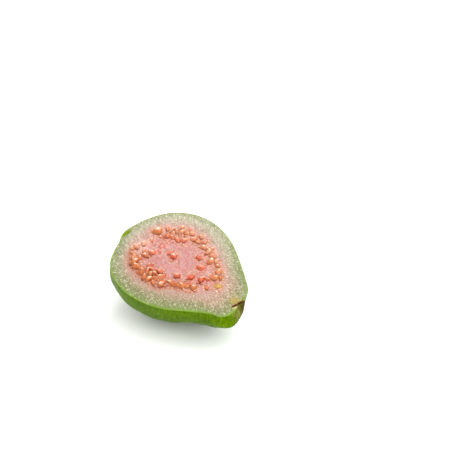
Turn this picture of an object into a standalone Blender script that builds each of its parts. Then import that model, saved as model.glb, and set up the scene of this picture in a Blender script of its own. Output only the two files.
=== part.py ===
"""Half of a guava, cut lengthwise through stem and blossom end, lying skin down.

Two bodies are built. The shell is the green skin with the firm flesh wall that it grew with, and the
pulp is the pink seedy core that sits in it. Shapes are worked out in the frame of the cut face:
+X runs to the stem end, +Y across the fruit and +Z out of the face. They are then leaned over and
set down on a small flat spot under the belly.
"""

import math
import random

import bmesh
import bpy
import numpy as np
from mathutils import Matrix, Vector

MM = 0.001

# Outline of the cut face at the skin, in millimetres, round from the stem scar
RIM_OUTLINE = [
    (42.3, 0.0), (41.9, 5.0), (39.2, 10.6), (34.0, 14.7), (23.0, 22.0), (9.9, 29.3),
    (-4.5, 32.8), (-18.5, 30.6), (-30.0, 22.3), (-36.2, 11.2), (-38.3, 3.4), (-39.0, -1.6),
    (-38.0, -5.6), (-36.0, -9.2), (-33.8, -15.0), (-29.8, -22.0), (-22.6, -27.8), (-11.0, -31.3),
    (2.6, -30.6), (14.7, -26.2), (27.0, -18.1), (34.7, -13.4), (40.2, -11.4), (42.7, -7.4),
]
# Outline of the fruit lower down: fuller at the blossom end and the near side of the neck
BELLY_OUTLINE = [
    (46.0, -3.2), (43.8, 2.6), (37.4, 8.4), (31.4, 13.0), (22.3, 21.3), (9.9, 29.3),
    (-4.5, 32.8), (-19.0, 31.6), (-31.6, 24.0), (-38.4, 12.0), (-40.2, 2.0), (-40.0, -6.0),
    (-37.4, -15.6), (-32.4, -24.2), (-24.2, -29.6), (-11.4, -32.4), (2.6, -30.9), (14.8, -26.4),
    (27.4, -18.4), (36.0, -14.4), (42.2, -12.8), (46.0, -9.2),
]
# Depth of the half below the cut face, along its length: (place on X, depth)
DEPTH_STATIONS = [
    (-30.0, 30.0), (-12.0, 32.0), (5.0, 32.0), (17.0, 28.0), (25.0, 26.0), (33.0, 22.5), (41.0, 18.5),
]
BELLY_LEVEL = 0.4
MERIDIAN_POWER = 2.0
NECK_POWER = 1.1
NECK_ANGLE = 0.34
NECK_SPREAD = 0.5

# Low lumps of the skin, the hollow of the blossom end's crown, and the stem scar
SKIN_LUMP = 0.30
CROWN_PIT = (-37.2, -2.3)
CROWN_PIT_WIDTH = 1.0
CROWN_PIT_LENGTH = 3.5
CROWN_PIT_DEPTH = 1.7
SCAR_CENTRE = (0.6, 0.0)
SCAR_RADIUS = 3.7
SCAR_RING = 0.3
SCAR_PIT = 0.6

# Outline of the seedy pulp on the cut face, and its depth
PULP_OUTLINE = [
    (29.5, 1.0), (25.5, 9.5), (16.5, 16.5), (5.5, 21.8), (-7.5, 24.2), (-19.5, 21.0),
    (-27.5, 12.5), (-29.5, -2.0), (-25.5, -13.8), (-15.0, -20.4), (-2.5, -21.4), (9.0, -17.0),
    (19.5, -11.0), (26.5, -6.0),
]
PULP_DEPTH = 21.0
PULP_POWER = 2.1
GAP = 0.30

# Relief of the cut face
FACE_WAVE = 0.25
PULP_SAG = 0.35

# Seeds: rows of (first seed, last seed, how many, length of a seed), in millimetres on the face
SEED_ROWS = [
    ((-25.0, 8.8), (-25.0, 8.8), 1, 4.7),
    ((-19.3, 9.9), (-9.1, 13.4), 4, 4.0),
    ((-6.2, 17.0), (-0.3, 19.1), 3, 4.0),
    ((1.9, 16.6), (9.2, 15.2), 3, 3.9),
    ((11.2, 11.6), (11.2, 11.6), 1, 4.9),
    ((4.3, 9.3), (4.3, 9.3), 1, 3.6),
    ((10.2, 5.4), (10.2, 5.4), 1, 4.3),
    ((10.4, -2.4), (15.4, -0.5), 2, 4.0),
    ((19.6, 4.8), (19.5, 9.1), 2, 4.6),
    ((25.3, 1.9), (25.3, 1.9), 1, 4.2),
    ((-9.4, 2.2), (-5.6, 2.0), 2, 3.7),
    ((-22.2, -11.6), (-16.9, -15.3), 3, 4.8),
    ((-18.1, -7.2), (-17.3, -3.3), 2, 3.8),
    ((-25.9, -6.2), (-24.3, -1.8), 2, 3.8),
    ((-11.6, -17.0), (-1.8, -17.9), 4, 4.0),
    ((-8.6, -12.0), (-1.9, -13.3), 3, 4.3),
    ((2.0, -16.2), (2.0, -16.2), 1, 3.9),
    ((7.3, -11.9), (15.9, -7.2), 4, 4.2),
    ((4.7, -6.5), (4.7, -6.5), 1, 3.3),
    ((-22.3, 13.8), (-9.4, 19.6), 6, 3.2),
]
SEED_WIDTH = 0.80
SEED_HEIGHT = 0.78
SEED_SINK = 0.12
SEED_JITTER = 0.35
LOOSE_SEEDS = 12
LOOSE_SEED_LENGTH = 3.2
LOOSE_SEED_SINK = 0.55
RANDOM_SEED = 11

# How the half lies: the neck drops, the near side rolls down, the belly is flat where it rests
NECK_DROP = math.radians(7.0)
NEAR_ROLL = math.radians(12.9)
FACE_CENTRE = (-2.369, -1.109, 31.5)

# How finely the surfaces are divided
SIDES = 72
END_CROWDING = 0.30
SKIN_RINGS = 18
WALL_SHARES = (0.19, 0.45, 0.72)
PULP_RINGS = 8
FACE_RINGS = 9
POINTS_PER_SPAN = 24

SKIN_COLOUR = (0.130, 0.275, 0.009)
FLESH_COLOUR = (0.600, 0.590, 0.330)
PULP_COLOUR = (0.780, 0.330, 0.290)
SEED_COLOUR = (0.740, 0.230, 0.060)


def closed_curve(outline):
    """Points of a smooth closed curve (centripetal Catmull-Rom) through the outline."""
    knots = [Vector(point) for point in outline]
    count = len(knots)
    curve = []
    for i in range(count):
        before, start, end, after = (knots[(i + k) % count] for k in (-1, 0, 1, 2))
        t1 = math.sqrt((start - before).length)
        t2 = t1 + math.sqrt((end - start).length)
        t3 = t2 + math.sqrt((after - end).length)
        for step in range(POINTS_PER_SPAN):
            t = t1 + (t2 - t1) * step / POINTS_PER_SPAN
            a1 = before.lerp(start, t / t1)
            a2 = start.lerp(end, (t - t1) / (t2 - t1))
            a3 = end.lerp(after, (t - t2) / (t3 - t2))
            b1 = a1.lerp(a2, t / t2)
            b2 = a2.lerp(a3, (t - t1) / (t3 - t1))
            curve.append(b1.lerp(b2, (t - t1) / (t2 - t1)))
    return curve


def polar(outline):
    """Function that gives the smooth outline's distance from the face centre at an angle."""
    curve = closed_curve(outline)
    angles = np.array([math.atan2(point.y, point.x) for point in curve])
    radii = np.array([point.length for point in curve])
    order = np.argsort(angles)
    angles, radii = angles[order], radii[order]
    return lambda angle: float(np.interp(angle, angles, radii, period=math.tau))


rim_radius = polar(RIM_OUTLINE)
belly_radius = polar(BELLY_OUTLINE)
pulp_radius = polar(PULP_OUTLINE)


def bell(distance, spread):
    """Bell curve, 1 at distance 0."""
    return math.exp(-0.5 * (distance / spread) ** 2)


def turn(angle, centre):
    """Shortest way round from centre to angle."""
    return (angle - centre + math.pi) % math.tau - math.pi


def smooth_step(value):
    """Ease from 0 to 1."""
    value = min(max(value, 0.0), 1.0)
    return value * value * (3.0 - 2.0 * value)


def depth_at(x):
    """Depth of the half below the cut face at a place along its length, before it rounds up."""
    places = [place for place, depth in DEPTH_STATIONS]
    depths = [depth for place, depth in DEPTH_STATIONS]
    slopes = np.gradient(depths, places)
    slopes[0] = slopes[-1] = 0.0
    x = min(max(x, places[0]), places[-1])
    i = min(max(int(np.searchsorted(places, x)) - 1, 0), len(places) - 2)
    span = places[i + 1] - places[i]
    u = (x - places[i]) / span
    return float(
        (2 * u**3 - 3 * u**2 + 1) * depths[i] + (u**3 - 2 * u**2 + u) * span * slopes[i]
        + (3 * u**2 - 2 * u**3) * depths[i + 1] + (u**3 - u**2) * span * slopes[i + 1]
    )


def skin_lumps(x, y, z):
    """Low rounded lumps of the skin."""
    waves = math.sin(0.21 * x + 0.13 * y + 1.0) + math.sin(0.17 * y - 0.24 * z + 2.1)
    waves += math.sin(0.33 * x - 0.19 * z) * math.sin(0.29 * y + 0.8)
    return SKIN_LUMP * waves / 2.0


def skin_point(angle, level):
    """Point of the skin: angle round the fruit, level 0 at the rim and 1 at the lowest point."""
    sweep = level * math.pi / 2
    power = MERIDIAN_POWER + NECK_POWER * bell(turn(angle, NECK_ANGLE), NECK_SPREAD)
    inward = max(math.cos(sweep), 0.0) ** (2 / power)
    downward = math.sin(sweep) ** (2 / power)
    mix = smooth_step(downward / BELLY_LEVEL)
    reach = rim_radius(angle) * (1 - mix) + belly_radius(angle) * mix
    x = reach * inward * math.cos(angle)
    y = reach * inward * math.sin(angle)
    z = -depth_at(x) * downward
    swell = 1 + skin_lumps(x, y, z) * smooth_step(level / 0.2) / 32.0
    point = Vector((x, y, z)) * swell
    if abs(turn(angle, 0.0)) < math.radians(25):
        point.x += scar_relief(point.y, point.z)
    return point


def scar_relief(y, z):
    """Raised corky ring and sunk middle of the stem scar, on the blunt end of the neck."""
    distance = math.hypot(y - SCAR_CENTRE[0], z - SCAR_CENTRE[1])
    ring = SCAR_RING * bell(distance - SCAR_RADIUS, 0.9)
    return ring - SCAR_PIT * bell(distance, 1.8)


def pulp_point(angle, level, clearance):
    """Point of the pulp's underside, or of the hollow that holds it when a clearance is given."""
    sweep = level * math.pi / 2
    inward = max(math.cos(sweep), 0.0) ** (2 / PULP_POWER)
    downward = math.sin(sweep) ** (2 / PULP_POWER)
    reach = (pulp_radius(angle) + clearance) * inward
    depth = (PULP_DEPTH + clearance) * downward
    x = reach * math.cos(angle)
    y = reach * math.sin(angle)
    return Vector((x, y, face_height(x, y) - depth))


def face_height(x, y):
    """Height of the cut face: it waves, the soft pulp has sunk, and the crown is hollow."""
    wave = FACE_WAVE * (math.sin(0.16 * x + 0.9) + math.sin(0.23 * y - 0.11 * x)) / 2
    angle = math.atan2(y, x)
    radius = math.hypot(x, y)
    to_rim = smooth_step((rim_radius(angle) - radius) / 6.0)
    to_core = smooth_step((pulp_radius(angle) - radius) / 8.0)
    return wave * to_rim - PULP_SAG * to_core - CROWN_PIT_DEPTH * crown_pit(x, y)


def crown_pit(x, y):
    """How far into the hollow of the blossom end's crown a place is, 1 in its middle."""
    across = (x - CROWN_PIT[0]) / CROWN_PIT_WIDTH
    along = (y - CROWN_PIT[1]) / CROWN_PIT_LENGTH
    return smooth_step(1.35 - math.hypot(across, along))


def face_point(angle, radius):
    """Point of the cut face."""
    x = radius * math.cos(angle)
    y = radius * math.sin(angle)
    return Vector((x, y, face_height(x, y)))


def side_angles():
    """Angles round the fruit, closer together at its two ends."""
    steps = [math.tau * i / SIDES for i in range(SIDES)]
    return [step - END_CROWDING * math.sin(2 * step) for step in steps]


def lofted(bm, first_pole, rings, last_pole):
    """Closed skin through the rings, from one pole to the other."""
    loops = [[bm.verts.new(point) for point in ring] for ring in rings]
    start = bm.verts.new(first_pole)
    finish = bm.verts.new(last_pole)
    for i in range(SIDES):
        j = (i + 1) % SIDES
        bm.faces.new((start, loops[0][j], loops[0][i]))
        for lower, upper in zip(loops, loops[1:]):
            bm.faces.new((lower[i], lower[j], upper[j], upper[i]))
        bm.faces.new((finish, loops[-1][i], loops[-1][j]))


def resting_place():
    """Transform from the cut face's frame in millimetres to the part's frame in metres."""
    drop_cos, drop_sin = math.cos(NECK_DROP), math.sin(NECK_DROP)
    roll_cos, roll_sin = math.cos(NEAR_ROLL), math.sin(NEAR_ROLL)
    along = Vector((drop_cos, 0.0, -drop_sin))
    across = Vector((roll_sin * drop_sin, roll_cos, roll_sin * drop_cos))
    out = Vector((roll_cos * drop_sin, -roll_sin, roll_cos * drop_cos))
    lean = Matrix((along, across, out)).transposed().to_4x4()
    return Matrix.Scale(MM, 4) @ Matrix.Translation(FACE_CENTRE) @ lean


def material(name, colour, roughness):
    """Principled material of one colour."""
    result = bpy.data.materials.new(name)
    result.use_nodes = True
    shader = result.node_tree.nodes["Principled BSDF"]
    shader.inputs["Base Color"].default_value = (*colour, 1.0)
    shader.inputs["Roughness"].default_value = roughness
    shader.inputs["Metallic"].default_value = 0.0
    return result


def finished(bm, name, materials):
    """Object from the bmesh, closed, facing out and shaded smooth."""
    bmesh.ops.recalc_face_normals(bm, faces=bm.faces)
    mesh = bpy.data.meshes.new(name)
    bm.to_mesh(mesh)
    bm.free()
    for item in materials:
        mesh.materials.append(item)
    mesh.shade_smooth()
    mesh.set_sharp_from_angle(angle=math.radians(50))
    result = bpy.data.objects.new(name, mesh)
    bpy.context.scene.collection.objects.link(result)
    return result


def flatten_belly(bm):
    """Cut the flat spot that the half rests on, at the height of the surface."""
    everything = bm.verts[:] + bm.edges[:] + bm.faces[:]
    cut = bmesh.ops.bisect_plane(
        bm, geom=everything, plane_co=(0, 0, 0), plane_no=(0, 0, 1), clear_inner=True
    )
    edges = [item for item in cut["geom_cut"] if isinstance(item, bmesh.types.BMEdge)]
    bmesh.ops.contextual_create(bm, geom=edges)


def build_shell():
    """Skin and flesh wall, with the hollow that holds the pulp."""
    angles = side_angles()
    rings = []
    for k in range(1, SKIN_RINGS + 1):
        rings.append([skin_point(angle, 1 - k / SKIN_RINGS) for angle in angles])
    edge = [skin_point(angle, 0.0).xy.length for angle in angles]
    for share in WALL_SHARES:
        reach = [radius * (1 - share) + (pulp_radius(angle) + GAP) * share
                 for radius, angle in zip(edge, angles)]
        rings.append([face_point(angle, radius) for angle, radius in zip(angles, reach)])
    for k in range(PULP_RINGS):
        rings.append([pulp_point(angle, k / PULP_RINGS, GAP) for angle in angles])
    bm = bmesh.new()
    lofted(bm, skin_point(0.0, 1.0), rings, pulp_point(0.0, 1.0, GAP))
    for face in bm.faces:
        face.material_index = 0 if face.calc_center_median().z < -0.6 else 1
    bm.transform(resting_place())
    flatten_belly(bm)
    skin = material("guava_skin", SKIN_COLOUR, 0.35)
    flesh = material("guava_flesh", FLESH_COLOUR, 0.45)
    return finished(bm, "shell", [skin, flesh])


def seed_places(rng):
    """Where each seed sits on the face, its length, and how deep it is sunk."""
    places = []
    for first, last, count, length in SEED_ROWS:
        for k in range(count):
            mix = k / (count - 1) if count > 1 else 0.0
            spot = Vector(first).lerp(Vector(last), mix)
            spot += Vector((rng.uniform(-1, 1), rng.uniform(-1, 1))) * SEED_JITTER
            places.append((spot, length * rng.uniform(0.92, 1.05), SEED_SINK))
    for k in range(LOOSE_SEEDS):
        angle = math.tau * (k + rng.uniform(0.1, 0.9)) / LOOSE_SEEDS
        reach = pulp_radius(angle) * rng.uniform(0.50, 0.82)
        spot = Vector((math.cos(angle), math.sin(angle))) * reach
        if all((spot - other).length > 2.6 for other, length, sink in places):
            places.append((spot, LOOSE_SEED_LENGTH, LOOSE_SEED_SINK))
    return places


def build_pulp():
    """Seedy core: a lens of soft pulp with the seeds fused into its face."""
    angles = side_angles()
    rings = []
    for k in range(1, PULP_RINGS + 1):
        rings.append([pulp_point(angle, 1 - k / PULP_RINGS, 0.0) for angle in angles])
    for k in range(1, FACE_RINGS):
        mix = 1 - k / FACE_RINGS
        rings.append([face_point(angle, pulp_radius(angle) * mix) for angle in angles])
    bm = bmesh.new()
    lofted(bm, pulp_point(0.0, 1.0, 0.0), rings, face_point(0.0, 0.0))
    bm.transform(resting_place())
    flesh = material("guava_pulp", PULP_COLOUR, 0.4)
    coat = material("guava_seed", SEED_COLOUR, 0.3)
    pulp = finished(bm, "pulp", [flesh, coat])
    fuse_seeds(pulp, coat)
    return pulp


def fuse_seeds(pulp, coat):
    """Join the seeds to the pulp with one Boolean union."""
    rng = random.Random(RANDOM_SEED)
    group = bpy.data.collections.new("seeds")
    bpy.context.scene.collection.children.link(group)
    for spot, length, sink in seed_places(rng):
        height = face_height(spot.x, spot.y) - sink * length
        size = Matrix.Diagonal((length / 2, SEED_WIDTH * length / 2, SEED_HEIGHT * length / 2, 1))
        turned = Matrix.Rotation(rng.uniform(0, math.tau), 4, "Z")
        tipped = Matrix.Rotation(rng.uniform(-0.35, 0.35), 4, "X")
        place = Matrix.Translation((spot.x, spot.y, height)) @ turned @ tipped @ size
        bm = bmesh.new()
        bmesh.ops.create_icosphere(bm, subdivisions=2, radius=1.0)
        bm.transform(resting_place() @ place)
        seed = finished(bm, "seed", [coat])
        bpy.context.scene.collection.objects.unlink(seed)
        group.objects.link(seed)
    union = pulp.modifiers.new("seeds", "BOOLEAN")
    union.operation = "UNION"
    union.operand_type = "COLLECTION"
    union.collection = group
    union.solver = "EXACT"
    union.material_mode = "TRANSFER"
    joined = pulp.evaluated_get(bpy.context.evaluated_depsgraph_get())
    pulp.data = bpy.data.meshes.new_from_object(joined)
    pulp.modifiers.clear()
    for seed in list(group.objects):
        bpy.data.objects.remove(seed)
    bpy.data.collections.remove(group)


def main():
    for old in list(bpy.data.objects):
        bpy.data.objects.remove(old)
    build_shell()
    build_pulp()


main()
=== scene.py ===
"""Looks of the guava half: skin, cut flesh, pulp and seeds, on a plain pale floor."""

import math
import random

import bmesh
import bpy
import numpy as np
from mathutils import Matrix, Vector


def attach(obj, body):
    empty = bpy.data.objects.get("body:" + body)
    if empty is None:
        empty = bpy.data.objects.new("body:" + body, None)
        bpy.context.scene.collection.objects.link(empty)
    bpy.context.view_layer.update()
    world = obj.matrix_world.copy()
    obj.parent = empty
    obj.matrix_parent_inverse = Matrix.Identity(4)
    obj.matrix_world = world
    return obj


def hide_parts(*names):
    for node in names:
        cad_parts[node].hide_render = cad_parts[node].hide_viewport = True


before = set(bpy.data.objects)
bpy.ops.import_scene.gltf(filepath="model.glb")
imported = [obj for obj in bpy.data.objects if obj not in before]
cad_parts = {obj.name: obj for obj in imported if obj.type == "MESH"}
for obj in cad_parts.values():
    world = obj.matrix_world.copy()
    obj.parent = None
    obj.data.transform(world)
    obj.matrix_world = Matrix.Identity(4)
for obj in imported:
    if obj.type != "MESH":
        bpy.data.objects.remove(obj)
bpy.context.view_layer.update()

MM = 0.001

# Shape of the half, in millimetres, the same named values as the solids have.
# Outline of the cut face at the skin, round from the stem scar
RIM_OUTLINE = [
    (42.3, 0.0), (41.9, 5.0), (39.2, 10.6), (34.0, 14.7), (23.0, 22.0), (9.9, 29.3),
    (-4.5, 32.8), (-18.5, 30.6), (-30.0, 22.3), (-36.2, 11.2), (-38.3, 3.4), (-39.0, -1.6),
    (-38.0, -5.6), (-36.0, -9.2), (-33.8, -15.0), (-29.8, -22.0), (-22.6, -27.8), (-11.0, -31.3),
    (2.6, -30.6), (14.7, -26.2), (27.0, -18.1), (34.7, -13.4), (40.2, -11.4), (42.7, -7.4),
]
# Outline of the fruit lower down
BELLY_OUTLINE = [
    (46.0, -3.2), (43.8, 2.6), (37.4, 8.4), (31.4, 13.0), (22.3, 21.3), (9.9, 29.3),
    (-4.5, 32.8), (-19.0, 31.6), (-31.6, 24.0), (-38.4, 12.0), (-40.2, 2.0), (-40.0, -6.0),
    (-37.4, -15.6), (-32.4, -24.2), (-24.2, -29.6), (-11.4, -32.4), (2.6, -30.9), (14.8, -26.4),
    (27.4, -18.4), (36.0, -14.4), (42.2, -12.8), (46.0, -9.2),
]
# Depth of the half below the cut face, along its length: place and depth
DEPTH_STATIONS = [
    (-30.0, 30.0), (-12.0, 32.0), (5.0, 32.0), (17.0, 28.0), (25.0, 26.0), (33.0, 22.5), (41.0, 18.5),
]
BELLY_LEVEL = 0.4
MERIDIAN_POWER = 2.0
NECK_POWER = 1.1
NECK_ANGLE = 0.34
NECK_SPREAD = 0.5

# Low lumps of the skin, the hollow of the blossom end's crown, and the stem scar
SKIN_LUMP = 0.30
SKIN_LUMP_START = 0.2
SKIN_LUMP_SCALE = 32.0
CROWN_PIT = (-37.2, -2.3)
CROWN_PIT_WIDTH = 1.0
CROWN_PIT_LENGTH = 3.5
CROWN_PIT_DEPTH = 1.7
CROWN_PIT_EDGE = 1.35
SCAR_CENTRE = (0.6, 0.0)
SCAR_RADIUS = 3.7
SCAR_RING = 0.3
SCAR_RING_WIDTH = 0.9
SCAR_PIT = 0.6
SCAR_PIT_WIDTH = 1.8
SCAR_SPREAD = math.radians(25)

# Outline of the seedy pulp on the cut face, and the face's relief
PULP_OUTLINE = [
    (29.5, 1.0), (25.5, 9.5), (16.5, 16.5), (5.5, 21.8), (-7.5, 24.2), (-19.5, 21.0),
    (-27.5, 12.5), (-29.5, -2.0), (-25.5, -13.8), (-15.0, -20.4), (-2.5, -21.4), (9.0, -17.0),
    (19.5, -11.0), (26.5, -6.0),
]
FACE_WAVE = 0.25
FACE_WAVE_FADE = 6.0
PULP_SAG = 0.35
PULP_SAG_FADE = 8.0

# Seeds: rows of (first seed, last seed, how many, length of a seed)
SEED_ROWS = [
    ((-25.0, 8.8), (-25.0, 8.8), 1, 4.7),
    ((-19.3, 9.9), (-9.1, 13.4), 4, 4.0),
    ((-6.2, 17.0), (-0.3, 19.1), 3, 4.0),
    ((1.9, 16.6), (9.2, 15.2), 3, 3.9),
    ((11.2, 11.6), (11.2, 11.6), 1, 4.9),
    ((4.3, 9.3), (4.3, 9.3), 1, 3.6),
    ((10.2, 5.4), (10.2, 5.4), 1, 4.3),
    ((10.4, -2.4), (15.4, -0.5), 2, 4.0),
    ((19.6, 4.8), (19.5, 9.1), 2, 4.6),
    ((25.3, 1.9), (25.3, 1.9), 1, 4.2),
    ((-9.4, 2.2), (-5.6, 2.0), 2, 3.7),
    ((-22.2, -11.6), (-16.9, -15.3), 3, 4.8),
    ((-18.1, -7.2), (-17.3, -3.3), 2, 3.8),
    ((-25.9, -6.2), (-24.3, -1.8), 2, 3.8),
    ((-11.6, -17.0), (-1.8, -17.9), 4, 4.0),
    ((-8.6, -12.0), (-1.9, -13.3), 3, 4.3),
    ((2.0, -16.2), (2.0, -16.2), 1, 3.9),
    ((7.3, -11.9), (15.9, -7.2), 4, 4.2),
    ((4.7, -6.5), (4.7, -6.5), 1, 3.3),
    ((-22.3, 13.8), (-9.4, 19.6), 6, 3.2),
]
SEED_WIDTH = 0.80
SEED_HEIGHT = 0.78
SEED_SINK = 0.12
SEED_JITTER = 0.35
SEED_VARIETY = (0.92, 1.05)
LOOSE_SEEDS = 12
LOOSE_SEED_LENGTH = 3.2
LOOSE_SEED_SINK = 0.55
LOOSE_SEED_STEP = (0.1, 0.9)
LOOSE_SEED_REACH = (0.50, 0.82)
LOOSE_SEED_SPACING = 2.6
RANDOM_SEED = 11

# How the half lies
NECK_DROP = math.radians(7.0)
NEAR_ROLL = math.radians(12.9)
FACE_CENTRE = (-2.369, -1.109, 31.5)
POINTS_PER_SPAN = 24

# How finely the visible surfaces are divided
SIDES = 480
END_CROWDING = 0.20
SKIN_RINGS = 52
SKIN_CROWDING = 1.25
WALL_RINGS = 50
WALL_CROWDING = 1.35
PULP_RINGS = 78
SEED_DIVISIONS = 4
GRAIN_DIVISIONS = 3

# Relief of the cut flesh: grain that runs outward, and the rounded rim
FLESH_GRAIN = 0.26
FLESH_GRAIN_SIZE = 1.0
FAR_GRAIN = 0.24
FAR_GRAIN_SIZE = 2.3
FIBRE_REACH = 25.0
FIBRE_STRETCH = 0.45
GRAIN_CALM = 0.6
RIM_CALM = 1.0
RIM_ROUND = 0.40

# Relief of the seedy ring: broad lumps, two sizes of bead, and a ragged collar round each seed
LUMP_HEIGHT = 0.50
LUMP_SIZE = 4.0
COARSE_BEADS = {"size": 3.1, "salt": 51}
FINE_BEADS = {"size": 1.7, "salt": 61}
BEAD_HEIGHTS = ((COARSE_BEADS, 0.60), (FINE_BEADS, 0.50))
BEAD_LEAST = 0.4
BEAD_JITTER = 0.36
BEAD_RADIUS = 0.62
BEAD_PATCH_SIZE = 4.0
BEAD_PATCH_GAIN = 1.3
COLLAR_HEIGHT = 0.55
COLLAR_LEAST = 0.35
COLLAR_REACH = 0.45
COLLAR_WIDTH = 0.6
COLLAR_MEAN = 0.75
COLLAR_RAGGED = 0.6
COLLAR_RAGGED_SIZE = 1.6
RING_REACH = 0.78
RING_GAIN = 1.3
RING_RAGGED = 0.45
RING_RAGGED_SIZE = 3.0
HALO_SPREAD = 0.50
FAR_FROM_CORE = -20.0

# Brown cleft and tan sliver beside the stem, and the yellow patch before them
CLEFT = ((40.0, -2.2), (41.0, -0.3), (41.3, 1.5), (41.9, 3.4))
CLEFT_WIDTH = 0.50
CLEFT_DEPTH = 0.9
SLIVER = ((41.9, -2.4), (42.5, 0.2))
SLIVER_WIDTH = 0.50
DRY_SHARE = 0.35
STAIN = (38.4, 1.0)
STAIN_WIDTH = 2.2

# Depth over which the wall's colour runs from the skin to the core
WALL_DEPTH = 12.0

# The far side of the cut face is paler and less green, partly its own colour and partly painted sheen; the
# near side is greener and darker, partly painted shade
FAR_SIDE_ANGLE = math.radians(126)
FAR_SIDE_POWER = 1.5

# Finer relief of the skin: broad lumps, ribs that run down from the rim, and small pimples
BROAD_HEIGHT = 0.28
BROAD_SIZE = 8.0
RIB_HEIGHT = 0.16
RIB_SIZE = 2.6
PIMPLE_HEIGHT = 0.07
PIMPLE_SIZE = 1.9
DOWN_STRETCH = 0.28
RIM_LEVEL = 0.06

# Corky skin on the blunt end round the stem scar
HUSK_CENTRE = (0.6, -2.0)
HUSK_SIZE = (6.5, 9.5)
HUSK_EDGE = 1.6
HUSK_SOFTNESS = 1.3
HUSK_START = 35.0
HUSK_FADE = 8.0

# Seeds: rounded kernels with pressed sides, standing a little out of the pulp
KERNEL_SIDES = 7
KERNEL_PRESS = (0.56, 0.92)
KERNEL_TIP = 1.10
KERNEL_EDGE = 10
KERNEL_DENT = 0.12
KERNEL_DENT_SIZE = 0.9
KERNEL_NARROW = (0.72, 1.0)
KERNEL_TILT = 0.35
SEED_SWELL = 1.34
SEED_LIFT = 0.40
# Direction taken as lit: the seeds' tops facing it get painted highlights, their undersides painted shade
PAINTED_LIGHT_SIDE = (-0.28, 0.40, 1.0)
REDDENING = (6.5, 8.0)
RED_VARIETY = 0.12
PLAIN_TONE = 0.9
YELLOW_TONE = 1.0
YELLOW_START = 24.0

# Smaller seeds between the rows: place on the face and length
SMALL_SEEDS = [
    (-7.2, -14.6, 4.3), (-3.4, -15.2, 4.1), (-10.4, -13.8, 4.1), (-5.4, -10.0, 3.7), (-11.0, -11.0, 3.5),
    (0.4, -14.4, 3.7), (4.8, -12.0, 3.7), (9.6, -8.6, 3.0), (-13.6, -14.8, 3.4), (-24.6, -10.4, 3.4),
    (-19.2, -10.4, 3.4), (-26.6, -8.4, 3.0), (24.6, 2.7, 3.8), (-4.6, 21.0, 2.8), (-14.9, 15.6, 2.6),
    (-11.5, 16.6, 2.7), (-8.1, 15.7, 2.6), (-18.4, 13.6, 2.6), (-16.8, 19.4, 2.7), (-12.4, 20.9, 2.6),
    (16.2, 12.1, 2.7), (6.1, 18.6, 2.8), (13.4, 13.4, 3.0), (22.2, 7.2, 2.8), (10.9, 13.9, 2.7),
    (13.0, -6.2, 2.8), (18.2, 2.2, 2.7), (21.4, -2.2, 2.5), (-20.6, -5.0, 2.8), (-23.0, 2.6, 2.5),
]
SMALL_SEED_SINK = 0.16

# Paler patch of seeds and pulp beside the blossom end
PALE_PATCH = (-25.8, -3.2)
PALE_WIDTH = 4.2

# Grains: small kernels strewn through the seedy ring
GRAIN_TRIES = 1500
GRAIN_LENGTH = (1.3, 2.6)
GRAIN_REACH = (0.50, 0.94)
GRAIN_SPACING = 1.55
SEEDINESS = (0.84, 1.0)
GRAIN_CLEARANCE = 0.36
GRAIN_SINK = (0.16, 0.41)
# How far the grains' painted light is moved towards the lit side, which softens their painted shade
GRAIN_LIGHT_FADE = 0.35

# Bare spots between the clusters of seeds, where no grain is strewn: place and reach
BARE_SPOTS = [
    (1.9, -12.6, 2.4), (-22.6, -7.6, 2.6), (-22.0, -1.5, 3.0), (-24.5, 2.8, 3.2), (17.8, 0.6, 2.5),
]

# Salts of the repeatable noise, one for each use
GRAIN_SALT = 3
LUMP_SALT = 9
COLLAR_SALT = 15
PATCH_SALT = 19
DENT_SALT = 21
BROAD_SALT = 31
RIB_SALT = 35
PIMPLE_SALT = 41
RING_SALT = 71
FAR_GRAIN_SALT = 81

# Floor and lights: metres, watts and the brightness that the base colours are made for
FLOOR_HALF = 3.0
FLOOR_WHITE = 0.98
LIGHT_AIM = (0.0, 0.0, 0.02)
KEY_DIRECTION = (0.36, 0.18, 0.92)
KEY_DISTANCE = 0.95
KEY_SIZE = 1.1
KEY_POWER = 3.9
GLINT_DIRECTION = (-0.32, 0.48, 0.82)
GLINT_DISTANCE = 0.95
GLINT_SIZE = 0.24
GLINT_POWER = 2.1
FILL_BACK = 0.9
FILL_RIGHT = 0.6
FILL_SIZE = 0.8
FILL_POWER = 3.9
AMBIENT = 1.18
EXPOSURE = 1.38

# Camera, from the photograph: direction, distance and where the face centre falls in the frame
PHOTO_SIZE = 458
CAMERA_AZIMUTH = math.radians(44.3)
CAMERA_ELEVATION = math.radians(36.0)
CAMERA_DISTANCE = 1.0
MM_PER_PIXEL = 0.5246
FACE_CENTRE_PIXEL = (179.0, 263.9)
SENSOR_WIDTH = 36.0


def srgb(red, green, blue):
    """Base colour that shows about as these 8-bit display values in the scene's bright light."""
    parts = []
    for value in (red, green, blue):
        value /= 255.0
        linear = value / 12.92 if value <= 0.04045 else ((value + 0.055) / 1.055) ** 2.4
        parts.append(linear / EXPOSURE)
    return (*parts, 1.0)


# Curves and bells

def closed_curve(outline):
    """Points of a smooth closed curve (centripetal Catmull-Rom) through the outline."""
    knots = [Vector(point) for point in outline]
    count = len(knots)
    curve = []
    for i in range(count):
        before, start, end, after = (knots[(i + k) % count] for k in (-1, 0, 1, 2))
        t1 = math.sqrt((start - before).length)
        t2 = t1 + math.sqrt((end - start).length)
        t3 = t2 + math.sqrt((after - end).length)
        for step in range(POINTS_PER_SPAN):
            t = t1 + (t2 - t1) * step / POINTS_PER_SPAN
            a1 = before.lerp(start, t / t1)
            a2 = start.lerp(end, (t - t1) / (t2 - t1))
            a3 = end.lerp(after, (t - t2) / (t3 - t2))
            b1 = a1.lerp(a2, t / t2)
            b2 = a2.lerp(a3, (t - t1) / (t3 - t1))
            curve.append(b1.lerp(b2, (t - t1) / (t2 - t1)))
    return curve


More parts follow.
